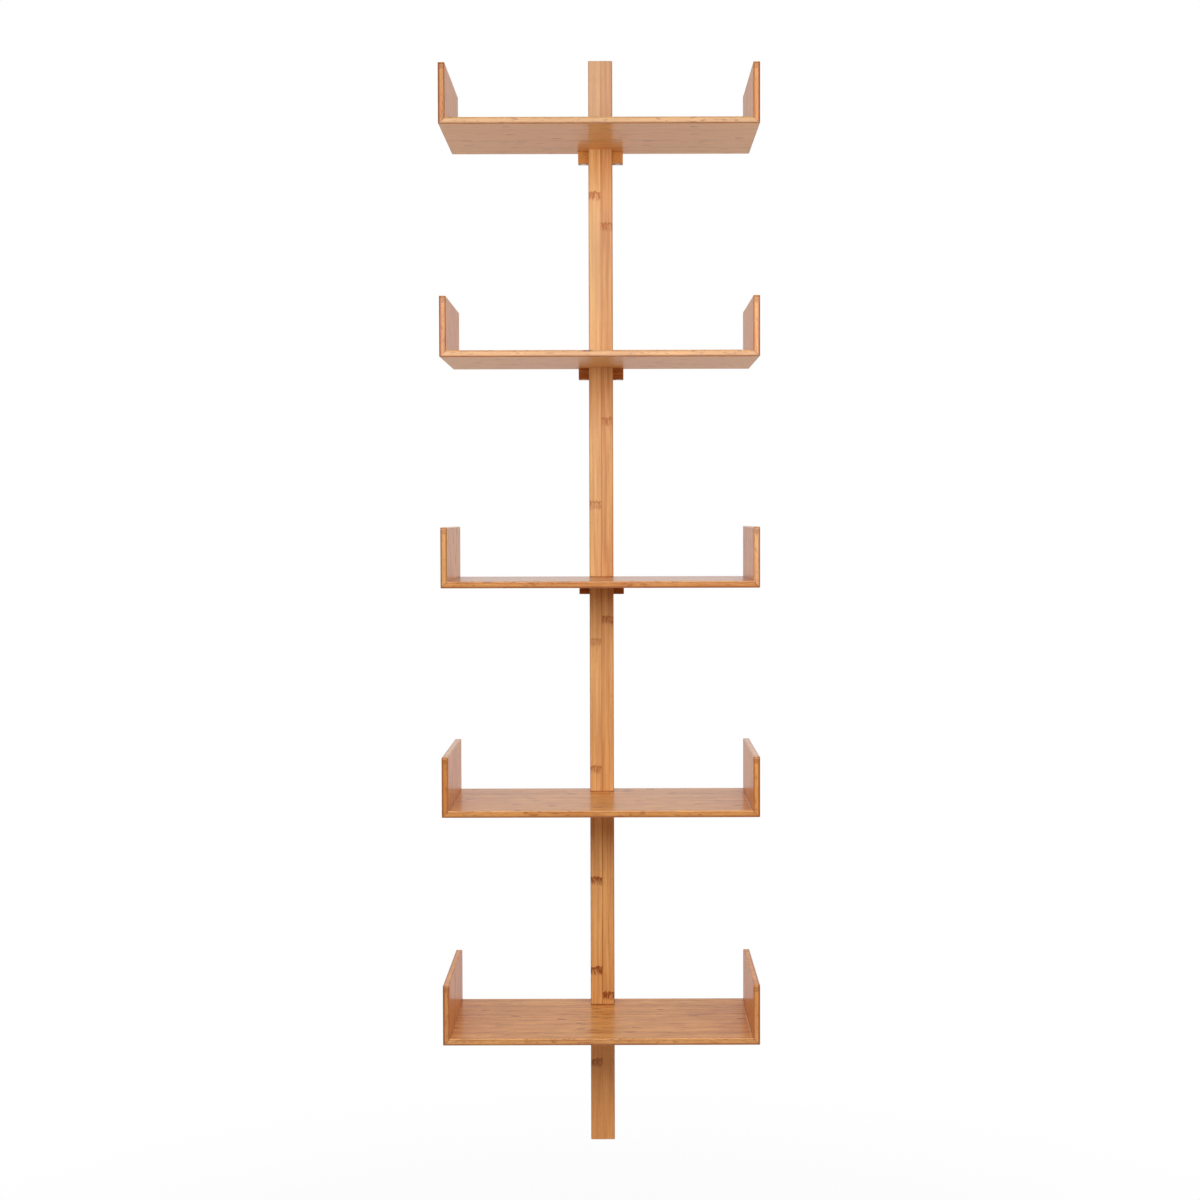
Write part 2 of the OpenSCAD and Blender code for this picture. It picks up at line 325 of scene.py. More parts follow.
def ply_grain(add, at, place, cell, tone, flecks, light, dark):
    """The colour and fibre of three-ply bamboo, and the dark marks that all trays have."""
    # The front and rear edges have quieter streaks than the faces
    streaks = add("MapRange", {0: at.to_edge, 1: 0.4, 2: 1.2, 3: 0.6, 4: 1.3})
    colour, fibre, fleck = strip_grain(add, place, cell, tone, 35, streaks, 0.7, light, dark)
    past, strength = random_node(add, at.along, cell, 235.0)
    stain = node_stain(add, place, past, 15.0, 0.8)
    stain = add("Math", [add("Math", [stain, strength], operation="MULTIPLY"), 0.9],
                operation="MULTIPLY")
    stain = marked(add, stain, fleck, flecks)
    # The outer arris of the front edge is painted darker: painted shade on the rounding that turns
    # away from the light
    stain = marked(add, stain, arris(add, at.outer, at.front, 1.7), 0.7)
    # The front edge has brown stretches where it cuts a node, some 11 mm long
    cuts = add("TexNoise", {"Vector": grain_place(add, (at.along, at.seed, at.through), 11, 3),
                            "Scale": 1.0, "Detail": 1.0})
    cuts = add("MapRange", {0: cuts, 1: 0.62, 2: 0.7, 3: 0.0, 4: 0.5})
    ahead = add("MapRange", {0: at.front, 1: 0.6, 2: 1.4, 3: 1.0, 4: 0.0})
    return colour, fibre, joint_marks(add, at, marked(add, stain, cuts, ahead))


def joint_marks(add, at, stain):
    """A stain with the glued joint of board and panel over it, and painted shade in its inner
    corner.
    """
    # A thin dark line along the inner corner: the glue joint, with painted shade where the corner is
    # shaded
    corner = add("MapRange", {0: at.corner, 1: 0.4, 2: 1.3, 3: 0.3, 4: 0.0})
    faces = add("Math", [add("Math", [at.front, 1.5], operation="GREATER_THAN"),
                         add("Math", [at.inner, 1.0], operation="LESS_THAN")],
                operation="MULTIPLY")
    stain = marked(add, stain, corner, faces)
    # The mitre shows on the front and rear edges as a line with dark spots, 3 mm apart
    across = add("Math", [at.beyond, at.height_in], operation="ADD")
    mitre = add("MapRange", {0: distance(add, across, thickness), 1: 0.4, 2: 1.1, 3: 0.85, 4: 0.0})
    spots = add("TexNoise", {"Vector": add("CombineXYZ", [at.x, at.seed, at.z]), "Scale": 0.35,
                             "Detail": 0.0})
    spots = add("MapRange", {0: spots, 1: 0.42, 2: 0.58, 3: 0.3, 4: 1.0})
    inside = add("MapRange", {0: at.height_in, 1: thickness - 1.2, 2: thickness - 0.4,
                              3: 1.0, 4: 0.0})
    return marked(add, stain, mitre, add("Math", [inside, spots], operation="MULTIPLY"))


def ply_seams(add, at, across):
    """The glue lines between the strips, which are faint, and under one face ply."""
    ply = add("Math", [at.through, FACE_PLY], operation="SUBTRACT")
    return add("Math", [glue_line(add, across, STRIP, 0.3, 0.15),
                        glue_line(add, ply, thickness - 2 * FACE_PLY, 0.35)],
               operation="MAXIMUM")


def edged(add, at, colour, share, edge):
    """A colour with a share of the front and rear edges' own colour over them."""
    cut = add("MapRange", {0: at.to_edge, 1: 0.4, 2: 1.2, 3: share, 4: 0.0})
    return add("Mix", {0: cut, 6: colour, 7: edge}, 2, data_type="RGBA")


def painted_corner_reflection(add, at, colour):
    """A colour with a pale line over it: a painted reflection of the right panel on the board, in
    the right corner of the two lowest trays.
    """
    # Painted reflection: a pale line on the board just beside the right panel's inner face
    reflected_line = add("MapRange", {0: distance(add, at.beyond, -1.2), 1: 0.5, 2: 1.2, 3: 0.6, 4: 0.0})
    reach = add("MapRange", {0: at.front, 1: 100, 2: 150, 3: 1.0, 4: 0.0})
    for share in (reach, at.right,
                  add("Math", [at.number, 1.5], operation="LESS_THAN"),
                  add("Math", [at.front, 4.0], operation="GREATER_THAN"),
                  add("Math", [at.height_in, thickness - 0.5], operation="GREATER_THAN")):
        reflected_line = add("Math", [reflected_line, share], operation="MULTIPLY")
    return add("Mix", {0: reflected_line, 6: colour, 7: linear("#F2CDA8")}, 2, data_type="RGBA")


def board_edges(add, at):
    """The share and colour of the boards' front and rear edges.

    They are a little browner than the faces, and painted straw coloured on the upper boards, a
    painted sheen where the lamp's reflection falls.
    """
    share = add("MapRange", {0: at.number, 1: MIDDLE, 2: TOP, 3: 0.1, 4: 0.6})
    # Painted sheen: the two upper boards' edges are paler straw
    upper = add("Math", [at.number, MIDDLE + 0.5], operation="GREATER_THAN")
    return share, add("Mix", {0: upper, 6: linear(EDGE_BROWN), 7: linear("#BB935D")}, 2,
                      data_type="RGBA")


def board_bamboo():
    """The boards: three-ply bamboo with edge-grain faces, its grain across the shelf."""
    material, tree = new_material("three-ply bamboo board, sanded and varnished (boards)")
    add = partial(node, tree)
    at = tray_measures(add, standing=False)
    place, cell, tone = ply_strips(add, at)
    # The undersides are painted paler, with fainter flecks: painted light for the light they catch
    # from below
    under = add("Math", [at.height_in, 0.5], operation="LESS_THAN")
    tone = add("Math", [under, 0.45, tone], operation="MULTIPLY_ADD")
    flecks = add("Math", [under, -FLECKS / 2, FLECKS], operation="MULTIPLY_ADD")
    # The middle board is toned browner
    middle = add("Math", [at.number, MIDDLE, 0.5], operation="COMPARE")
    tone = add("Math", [middle, -0.3, tone], operation="MULTIPLY_ADD")
    # The inner arris of the front edge is painted pale: a painted highlight where the rounded top
    # edge catches the light
    tone = add("Math", [arris(add, at.inner, at.front, 1.5), 0.5, tone],
               operation="MULTIPLY_ADD")
    colour, fibre, stain = ply_grain(add, at, place, cell, tone, flecks, "#F6B569", "#B87036")
    # The undersides are painted pinker, with paler marks, more painted light from below
    pink = add("Math", [under, 0.25], operation="MULTIPLY")
    colour = add("Mix", {0: pink, 6: colour, 7: linear("#FFAE74")}, 2, data_type="RGBA")
    ink = add("Mix", {0: under, 6: linear(MARK_BROWN), 7: linear("#A4552C")}, 2,
              data_type="RGBA")
    # The painted reflection in the right corner goes under the edges' colour
    colour = edged(add, at, painted_corner_reflection(add, at, colour), *board_edges(add, at))
    # The upper front edges, which face the lamp, and the undersides have less varnish
    straight = add("MapRange", {0: at.number, 1: MIDDLE, 2: TOP, 3: 1.0, 4: 0.75})
    grazing = add("MapRange", {0: at.height_in, 1: 0.5, 2: 1.5, 3: 0.13, 4: 0.58})
    bamboo_surface(tree, colour, fibre, stain, ply_seams(add, at, place[1]), ink,
                   (straight, ASLANT, grazing, SATIN))
    return material


def panel_marks(add, at, middle, stain):
    """A stain with the panels' own marks over it, which the sander leaves along the edges."""
    # The inner arris of the front edge is burnt, on the middle panels most
    force = add("Math", [middle, 0.35, 0.5], operation="MULTIPLY_ADD")
    stain = marked(add, stain, arris(add, at.inner, at.front, 1.5), force)
    # The arrises along the top are burnt too
    to_top = add("Math", [tray_height, at.height_in], operation="SUBTRACT")
    rims = add("Math", [arris(add, at.outer, to_top, 1.5), arris(add, at.inner, to_top, 1.2)],
               operation="MAXIMUM")
    stain = marked(add, stain, rims, 0.45)
    # The top 9 mm of the front edge is the brown end of a cross strip
    strip_end = add("MapRange", {0: at.height_in, 1: tray_height - 9.5, 2: tray_height - 8.5,
                                 3: 0.0, 4: 0.4})
    near = add("MapRange", {0: at.front, 1: 0.8, 2: 1.6, 3: 1.0, 4: 0.0})
    return marked(add, stain, strip_end, near)


def panel_edges(add, at, middle):
    """The share and colour of the panels' front and rear edges.

    They are browner than the boards', on the left and on the top tray most, but sandy on
    the middle tray.
    """
    share = add("Math", [at.right, -0.2, 0.42], operation="MULTIPLY_ADD")
    top = add("Math", [at.number, TOP, 0.5], operation="COMPARE")
    share = add("Math", [top, 0.12, share], operation="MULTIPLY_ADD")
    share = add("Mix", {0: middle, 2: share, 3: 0.4})
    sand = add("Mix", {0: at.right, 6: linear("#987250"), 7: linear("#DBAE92")}, 2,
               data_type="RGBA")
    return share, add("Mix", {0: middle, 6: linear(EDGE_BROWN), 7: sand}, 2, data_type="RGBA")


def panel_bamboo():
    """The side panels: the boards' bamboo stood upright, its grain up and down."""
    material, tree = new_material("three-ply bamboo board, sanded and varnished (side panels)")
    add = partial(node, tree)
    at = tray_measures(add, standing=True)
    place, cell, tone = ply_strips(add, at)
    middle = add("Math", [at.number, MIDDLE, 0.5], operation="COMPARE")
    lowest = add("Math", [at.number, LOWEST, 0.5], operation="COMPARE")
    # The lowest panels are painted a little browner, painted shade from the board close beneath
    # them, and the middle left one comes from a paler length
    tone = add("Math", [lowest, -0.07, tone], operation="MULTIPLY_ADD")
    paler = add("Math", [at.right, -0.22, 0.22], operation="MULTIPLY_ADD")
    tone = add("Math", [middle, paler, tone], operation="MULTIPLY_ADD")
    colour, fibre, stain = ply_grain(add, at, place, cell, tone, FLECKS, "#FBBC68", "#CF7B36")
    stain = panel_marks(add, at, middle, stain)
    colour = edged(add, at, colour, *panel_edges(add, at, middle))
    # The upper front edges, which face the lamp, have less varnish, the lowest panels shine
    # less along their faces, and the top faces have most
    straight = add("MapRange", {0: at.number, 1: MIDDLE, 2: TOP, 3: 1.0, 4: 0.4})
    rim = add("MapRange", {0: at.height_in, 1: tray_height - 1.5, 2: tray_height - 0.5})
    aslant = add("Math", [rim, 0.12, ASLANT], operation="MULTIPLY_ADD")
    grazing = add("MapRange", {0: at.number, 1: LOWEST, 2: LOWEST + 1, 3: 0.21, 4: 0.29})
    grazing = add("Mix", {0: rim, 2: grazing, 3: 0.9})
    bamboo_surface(tree, colour, fibre, stain, ply_seams(add, at, place[1]), linear(MARK_BROWN),
                   (straight, aslant, grazing, SATIN))
    return material


# Heights in millimetres of the nodes in the post's two front strips, and each mark's strength
LEFT_NODES = [(461, 0.95), (240, 0.7), (50, 0.7), (-134, 0.5), (-305, 0.7), (-455, 0.95),
              (-577, 1.0), (-702, 0.75)]
RIGHT_NODES = [(420, 0.95), (162, 0.75), (-104, 0.85), (-352, 0.65), (-611, 1.0)]
# Further down in millimetres than any place can be below a node
FAR = 3000.0
# The post is six layers deep
LAYER = post_depth / 6


def listed_nodes(add, z, heights):
    """How far a place is below the nearest node above it, and the strength of its mark."""
    past, strength = FAR, 0.0
    for height, force in heights:
        below = add("Math", [height, z], operation="SUBTRACT")
        # A mark begins 3 mm above its node, and what lies higher counts as far below
        below = add("Math", [below, FAR - 3.0, -3.0], operation="WRAP")
        near = add("Math", [below, 100.0], operation="LESS_THAN")
        strength = add("Math", [near, force, strength], operation="MULTIPLY_ADD")
        past = add("Math", [past, below], operation="MINIMUM")
    return past, strength


def post_measures(add):
    """Where a point lies in the post, in millimetres, and the strip it lies in.

    The place in the grain stays a hair inside the faces, where the strips would flicker.
    middle is the distance from the middle line, and depth that from the front or rear face.
    """
    x, y, z = place_in_mm(add)
    hair = 0.02
    edge = post_half - hair
    across = add("Math", [add("Math", [x, -edge], operation="MAXIMUM"), edge],
                 operation="MINIMUM")
    through = add("Math", [y, post_depth], operation="ADD")
    through = add("Math", [add("Math", [through, hair], operation="MAXIMUM"), post_depth - hair],
                  operation="MINIMUM")
    right = add("Math", [x, 0.0], operation="GREATER_THAN")
    layer = add("Math", [add("Math", [through, LAYER], operation="DIVIDE")], operation="FLOOR")
    return SimpleNamespace(
        z=z, height_in=tray_place(add, z)[1], place=(z, across, through), through=through,
        right=right, front=add("Math", [layer, 0.5], operation="LESS_THAN"),
        cell=add("CombineXYZ", [right, layer, 7.0]),
        middle=add("Math", [x], operation="ABSOLUTE"),
        depth=add("Math", [through, post_depth / 2], operation="PINGPONG"))


def post_grain(add, at):
    """The colour, fibre and flecks of the post's strips."""
    chance = add("TexWhiteNoise", {"Vector": at.cell}, noise_dimensions="3D")
    # In front the right strip is the darker one, and more so towards the top
    darker = add("MapRange", {0: at.z, 1: -600, 2: 600, 3: 0.0, 4: -0.38})
    tone = add("Mix", {0: at.front,
                       2: add("Math", [chance, 0.5, -0.25], operation="MULTIPLY_ADD"),
                       3: add("Math", [at.right, darker, 0.08], operation="MULTIPLY_ADD")})
    return strip_grain(add, at.place, at.cell, tone, 110, 1.6, 0.4, "#E9B16B", "#BB743D")


def painted_sheen_and_shade(add, at, colour, below):
    """The post's colour with painted light over its height: a painted sheen that grows paler towards
    the top, and painted shade under the boards.
    """
    # It is painted paler towards the top, a painted sheen, but not in the painted shade just below
    # each board
    shade = add("MapRange", {0: at.height_in, 1: -95, 2: -20, 3: 1.0, 4: 0.05})
    open_above = add("Math", [at.height_in, 0.0], operation="GREATER_THAN")
    pale = add("MapRange", {0: at.z, 1: -600, 2: 600, 3: 0.02, 4: 0.34})
    pale = add("Math", [pale, add("Math", [shade, open_above], operation="MAXIMUM")],
               operation="MULTIPLY")
    pale = add("Math", [pale, add("Math", [at.right, -0.4, 1.0], operation="MULTIPLY_ADD")],
               operation="MULTIPLY")
    colour = add("Mix", {0: pale, 6: colour, 7: linear("#DFC39B")}, 2, data_type="RGBA")
    # Above the top board it is painted a little greyer, more painted sheen, and below the lowest one
    # redder, painted shade
    above = add("MapRange", {0: at.z, 1: 515, 2: 530, 3: 0.0, 4: 0.3})
    colour = add("Mix", {0: above, 6: colour, 7: linear("#C59E89")}, 2, data_type="RGBA")
    return add("Mix", {0: below, 6: colour, 7: linear("#C9733A")}, 2, data_type="RGBA")


def post_nodes(add, at):
    """The stain of the post's nodes: at listed heights in front, elsewhere at random."""
    past, strength = random_node(add, at.z, at.cell, 240.0)
    left_past, left_strength = listed_nodes(add, at.z, LEFT_NODES)
    right_past, right_strength = listed_nodes(add, at.z, RIGHT_NODES)
    front_past = add("Mix", {0: at.right, 2: left_past, 3: right_past})
    front_strength = add("Mix", {0: at.right, 2: left_strength, 3: right_strength})
    past = add("Mix", {0: at.front, 2: past, 3: front_past})
    strength = add("Mix", {0: at.front, 2: strength, 3: front_strength})
    return add("Math", [node_stain(add, at.place, past, 13.0, 1.0), strength],
               operation="MULTIPLY")


def middle_line(add, at, below):
    """The post's middle glue line, drawn 0.8 mm wide so that it shows, fuller in places."""
    line = add("MapRange", {0: at.middle, 1: 0.2, 2: 0.6, 3: 1.0, 4: 0.0})
    stretch = add("TexNoise", {"Vector": grain_place(add, at.place, 90, 400), "Scale": 1.0,
                               "Detail": 2.0})
    stretch = add("MapRange", {0: stretch, 1: 0.35, 2: 0.65, 3: 0.5, 4: 0.95})
    # It is darkest between the lower trays, and faint again below them
    lower = add("MapRange", {0: at.z, 1: -300, 2: 300, 3: 1.15, 4: 0.6})
    for share in (lower, add("Math", [below, -2.5, 1.0], operation="MULTIPLY_ADD")):
        stretch = add("Math", [stretch, share], operation="MULTIPLY")
    return add("Math", [line, stretch], operation="MULTIPLY")


def post_bamboo():
    """The post: two flat-grain strips wide, and glued up in layers."""
    material, tree = new_material("laminated bamboo, planed and varnished (post)")
    add = partial(node, tree)
    at = post_measures(add)
    colour, fibre, fleck = post_grain(add, at)
    # below marks the post under the lowest board, which is painted redder there as painted shade
    below = add("MapRange", {0: at.z, 1: -660, 2: -635, 3: 0.35, 4: 0.0})
    colour = painted_sheen_and_shade(add, at, colour, below)
    stain = marked(add, post_nodes(add, at), fleck, 0.15)
    # The planed arrises are darker
    beside = add("Math", [post_half, at.middle], operation="SUBTRACT")
    stain = marked(add, stain, arris(add, beside, at.depth, 1.2), 0.6)
    stain = marked(add, stain, middle_line(add, at, below))
    # A thin dark joint shows where the post stands on each board
    foot = add("MapRange", {0: distance(add, at.height_in, thickness + 0.5), 1: 0.5, 2: 1.2,
                            3: 0.8, 4: 0.0})
    stain = marked(add, stain, foot)
    inside = add("Math", [at.depth, 1.0], operation="GREATER_THAN")
    seam = add("Math", [inside, glue_line(add, at.through, LAYER, 0.2)], operation="MULTIPLY")
    # The marks are painted paler towards the top too, with the painted sheen
    ink = add("MapRange", {0: at.z, 1: -500, 2: 500, 3: 0.0, 4: 1.0})
    ink = add("Mix", {0: ink, 6: linear("#8A4210"), 7: linear("#AE6228")}, 2, data_type="RGBA")
    bamboo_surface(tree, colour, fibre, stain, seam, ink, (0.45, 0.2, 0.2, 0.45))
    return material


def block_bamboo():
    """The cross blocks: bamboo painted darker than the post, a painted shade for where they sit
    under the boards, with its grain across the shelf.
    """
    material, tree = new_material("carbonised bamboo, planed and oiled (cross blocks)")
    add = partial(node, tree)
    x, y, z = place_in_mm(add)
    number, height_in = tray_place(add, z)
    # The strips are 5.5 mm wide, and moved so that the rear face isn't on a joint
    strip = 5.5
    deep = add("Math", [y, -2.0], operation="ADD")
    place = x, deep, height_in
    index = add("Math", [add("Math", [deep, strip], operation="DIVIDE")], operation="FLOOR")
    cell = add("CombineXYZ", [index, number, 3.0])
    chance = add("TexWhiteNoise", {"Vector": cell}, noise_dimensions="3D")
    # Painted shade: every block is toned darker
    tone = add("Math", [chance, 0.3, -0.42], operation="MULTIPLY_ADD")
    # The top block is painted paler: painted light, as it is lit from below the top board while the
    # others sit in shade
    top = add("Math", [number, TOP, 0.5], operation="COMPARE")
    tone = add("Math", [top, 0.9, tone], operation="MULTIPLY_ADD")
    colour, fibre, fleck = strip_grain(add, place, cell, tone, 45, 1.1, 0.5, "#DC9750", "#A4551C")
    past, strength = random_node(add, x, cell, 90.0)
    stain = node_stain(add, place, past, 9.0, 0.5)
    stain = add("Math", [add("Math", [stain, strength], operation="MULTIPLY"), 0.6],
                operation="MULTIPLY")
    bamboo_surface(tree, colour, fibre, marked(add, stain, fleck, 0.3),
                   glue_line(add, deep, strip, 0.2), linear("#4A2410"), (0.0, 0.0, 0.0, 0.4))
    return material


def tongue_wood():
    """The loose tongues: thin raw plywood, dull, with straight pale grain."""
    material, tree = new_material("birch plywood, sawn and raw (tongues)")
    add = partial(node, tree)
    place = stretched(add, place_in_mm(add), (0.9, 30, 0.9))
    grain = add("TexNoise", {"Vector": place, "Scale": 1.0, "Detail": 3.0})
    colour = add("Mix", {0: grain, 6: linear("#C79E6B"), 7: linear("#E6C79B")}, 2, data_type="RGBA")
    bump = add("Bump", {"Strength": 0.5, "Distance": MM,
                        "Height": add("Math", [grain, 0.08], operation="MULTIPLY")})
    roughness = add("MapRange", {0: grain, 1: 0.2, 2: 0.8, 3: 0.65, 4: 0.8})
    finish_material(tree, {"Base Color": colour, "Roughness": roughness, "Normal": bump,
                           "IOR": 1.45, "Specular IOR Level": 0.3})
    return material


# Metal

def steel_sheet():
    """The keyhole plates: rolled steel, zinc plated, with faint rolling lines and a soft gloss."""
    material, tree = new_material("sheet steel, stamped and zinc plated (keyhole plates)")
    add = partial(node, tree)
    # Rolling lines are under 0.1 mm wide, and are drawn 0.25 mm wide so that they show
    place = stretched(add, place_in_mm(add), (0.25, 0.25, 12))
    line = add("TexNoise", {"Vector": place, "Scale": 1.0, "Detail": 3.0})
    # The zinc's clouds are about 5.5 mm across
    cloud = add("TexNoise", {"Vector": add("TexCoord", out="Object"), "Scale": 180.0, "Detail": 2.0})
    colour = add("Mix", {0: cloud, 6: linear("#A9ABAA"), 7: linear("#CFD0CC")}, 2, data_type="RGBA")
    roughness = add("MapRange", {0: cloud, 1: 0.3, 2: 0.7, 3: 0.26, 4: 0.42})
    bump = add("Bump", {"Strength": 0.5, "Distance": MM,
                        "Height": add("Math", [line, 0.012], operation="MULTIPLY")})
    finish_material(tree, {"Base Color": colour, "Metallic": 1.0, "Roughness": roughness,
                           "Normal": bump})
    return material


def zinc_screw():
    """The screws: turned steel with bright zinc plating, a little cloudy."""
    material, tree = new_material("screw steel, rolled and zinc plated (screws)")
    add = partial(node, tree)
    place = add("TexCoord", out="Object")
    # The zinc's clouds are about 1 mm across, and its grit 0.25 mm
    cloud = add("TexNoise", {"Vector": place, "Scale": 900.0, "Detail": 2.0})
    grit = add("TexNoise", {"Vector": place, "Scale": 4000.0, "Detail": 1.0})
    colour = add("Mix", {0: cloud, 6: linear("#B4B4AC"), 7: linear("#D6D5CB")}, 2, data_type="RGBA")
    roughness = add("MapRange", {0: cloud, 1: 0.3, 2: 0.7, 3: 0.22, 4: 0.36})
    bump = add("Bump", {"Strength": 0.4, "Distance": MM,
                        "Height": add("Math", [grit, 0.01], operation="MULTIPLY")})
    finish_material(tree, {"Base Color": colour, "Metallic": 1.0, "Roughness": roughness,
                           "Normal": bump})
    return material


# Fixings

# The zinc plated screws: their body's and head's diameter, length and pitch in millimetres
BOARD_SCREW = 3.5, 6.8, 20, 1.3
BLOCK_SCREW = 3.5, 6.8, 28, 1.3
PLATE_SCREW = 3, 5.8, 16, 1.2
PLATES = "upper", "lower"
# How far the plates' screws are from the plates' ends, in millimetres
PLATE_END = 5.8
# Points closer than this become one
MERGE = 0.005 * MM


def turned(name, rings):
    """A turned solid: a disc that is extruded and resized from ring to ring.

    Each ring is a height and a radius in millimetres.
    """
    bpy.ops.object.select_all(action="DESELECT")
    height, radius = rings[0]
    bpy.ops.mesh.primitive_circle_add(vertices=32, radius=radius * MM, fill_type="NGON",
                                      location=(0, 0, height * MM))
    piece = bpy.context.object
    piece.name = name
    bpy.ops.object.mode_set(mode="EDIT")
    for next_height, next_radius in rings[1:]:
        bpy.ops.mesh.extrude_region_move(
            TRANSFORM_OT_translate={"value": (0, 0, (next_height - height) * MM)})
        size = next_radius / radius
        bpy.ops.transform.resize(value=(size, size, 1), center_override=(0, 0, next_height * MM))
        height, radius = next_height, next_radius
    bpy.ops.mesh.select_all(action="SELECT")
    bpy.ops.mesh.normals_make_consistent(inside=False)
    bpy.ops.object.mode_set(mode="OBJECT")
    bpy.ops.object.transform_apply()
    return piece


def thread(root, crest, pitch, top, turns):
    """A screw's thread: a triangle of wire wound down the shank from its top."""
    bpy.ops.object.select_all(action="DESELECT")
    bpy.ops.mesh.primitive_circle_add(vertices=3, radius=MM)
    worm = bpy.context.object
    # The triangle is 1.5 mm high along Y and 1.73 mm wide along X, and turns to X and Z. Its
    # middle is a third of its height above its base, which lies a little under the shank.
    base = root - 0.1
    height = crest - base
    upright = Matrix(((0, 1, 0, 0), (0, 0, 1, 0), (1, 0, 0, 0), (0, 0, 0, 1)))
    sized = Matrix.Diagonal((height / 1.5, 1, 0.7 * pitch / 1.73, 1))
    place = Matrix.Translation(Vector((base + height / 3, 0, top)) * MM)
    worm.data.transform(place @ sized @ upright)
    winding = worm.modifiers.new("winding", "SCREW")
    winding.screw_offset = -pitch * MM
    winding.iterations = turns
    winding.steps = winding.render_steps = 16
    bpy.ops.object.modifier_apply(modifier="winding")
    bpy.ops.object.mode_set(mode="EDIT")
    bpy.ops.mesh.select_all(action="SELECT")
    bpy.ops.mesh.fill_holes(sides=3)
    bpy.ops.mesh.normals_make_consistent(inside=False)
    bpy.ops.object.mode_set(mode="OBJECT")
    return worm


def cross_arm(length, width, depth, turn):
    """One arm of the tool that stamps a cross recess, narrower at its foot."""
    bpy.ops.object.select_all(action="DESELECT")
    bpy.ops.mesh.primitive_cube_add(size=MM, location=(0, 0, -depth / 2 * MM),
                                    scale=(length, width, 1.2 * depth))
    arm = bpy.context.object
    bpy.ops.object.transform_apply()
    bpy.ops.object.mode_set(mode="EDIT")
    bpy.ops.mesh.select_mode(type="FACE")
    bpy.ops.mesh.select_all(action="DESELECT")
    bpy.ops.object.mode_set(mode="OBJECT")
    for face in arm.data.polygons:
        face.select = face.normal.z < -0.5
    bpy.ops.object.mode_set(mode="EDIT")
    bpy.ops.transform.resize(value=(0.3, 0.7, 1), center_override=(0, 0, -depth * MM))
    bpy.ops.object.mode_set(mode="OBJECT")
    arm.data.transform(Matrix.Rotation(turn, 4, "Z"))
    return arm


def combined(piece, tool, operation):
    """Joins, cuts or trims a piece by another, which is used up."""
    bpy.context.view_layer.objects.active = piece
    step = piece.modifiers.new("step", "BOOLEAN")
    step.operation, step.object, step.solver = operation, tool, "EXACT"
    bpy.ops.object.modifier_apply(modifier="step")
    bpy.data.objects.remove(tool)
    return piece


def merge_points(piece):
    """Merges the points of a piece that lie on top of each other, and clears slivers."""
    bpy.ops.object.select_all(action="DESELECT")
    bpy.context.view_layer.objects.active = piece
    piece.select_set(True)
    bpy.ops.object.mode_set(mode="EDIT")
    bpy.ops.mesh.select_all(action="SELECT")
    bpy.ops.mesh.remove_doubles(threshold=MERGE)
    bpy.ops.mesh.dissolve_degenerate(threshold=MERGE)
    bpy.ops.mesh.normals_make_consistent(inside=False)
    bpy.ops.object.mode_set(mode="OBJECT")


def wood_screw(name, diameter, head, length, pitch):
    """A countersunk wood screw with a cross recess, point down, its head's top at zero."""
    crest, root = diameter / 2, diameter * 0.34
    # The head's cone, the plain shank and the thread end at these heights
    neck = (head - diameter) / 2
    plain = -0.35 * length
    point = 1.2 * diameter - length
    # The tip is blunted to 0.1 mm, and the head's rim is broken by 0.05 mm
    screw = turned(name, [(-length, 0.1), (point, root), (plain - 0.5, root), (plain, crest),
                          (-neck, crest), (-0.2, head / 2 - 0.05), (-0.05, head / 2), (0, head / 2)])
    # The thread begins below the step, so that the two join cleanly, and ends above the tip
    below_step, above_tip = 0.8, 0.3
    turns = int((length + plain - above_tip) / pitch)
    worm = thread(root, crest, pitch, plain - below_step, turns)
    # The sleeve trims the thread to the point's cone
    sleeve = turned("sleeve", [(-length, 0.3), (point, 1.1 * crest), (0, 1.1 * crest)])
    combined(screw, combined(worm, sleeve, "INTERSECT"), "UNION")
    # The recess is a little over half as wide as the head
    for turn in (0, pi / 2):
        combined(screw, cross_arm(0.56 * head, 0.14 * head, 0.3 * head, turn), "DIFFERENCE")
    merge_points(screw)
    bpy.ops.object.shade_smooth_by_angle(angle=radians(30))
    return screw


def set_piece(piece, cad_node, material):
    """Puts a finished piece in a CAD node's place, with its material."""
    piece.data.materials.clear()
    piece.data.materials.append(material)
    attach(piece, "root")
    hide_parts(cad_node)


def drive_screws(model, cad_node, spots, aim, material):
    """Copies a screw to each of its places, each with its recess turned another way."""
    for count, (name, place) in enumerate(spots.items()):
        screw = bpy.data.objects.new(name, model.data.copy())
        bpy.context.scene.collection.objects.link(screw)
        twist = Matrix.Rotation(radians(137) * count, 4, "Z")
        screw.data.transform(Matrix.Translation(Vector(place) * MM) @ aim @ twist)
        set_piece(screw, cad_node, material)
    bpy.data.objects.remove(model)


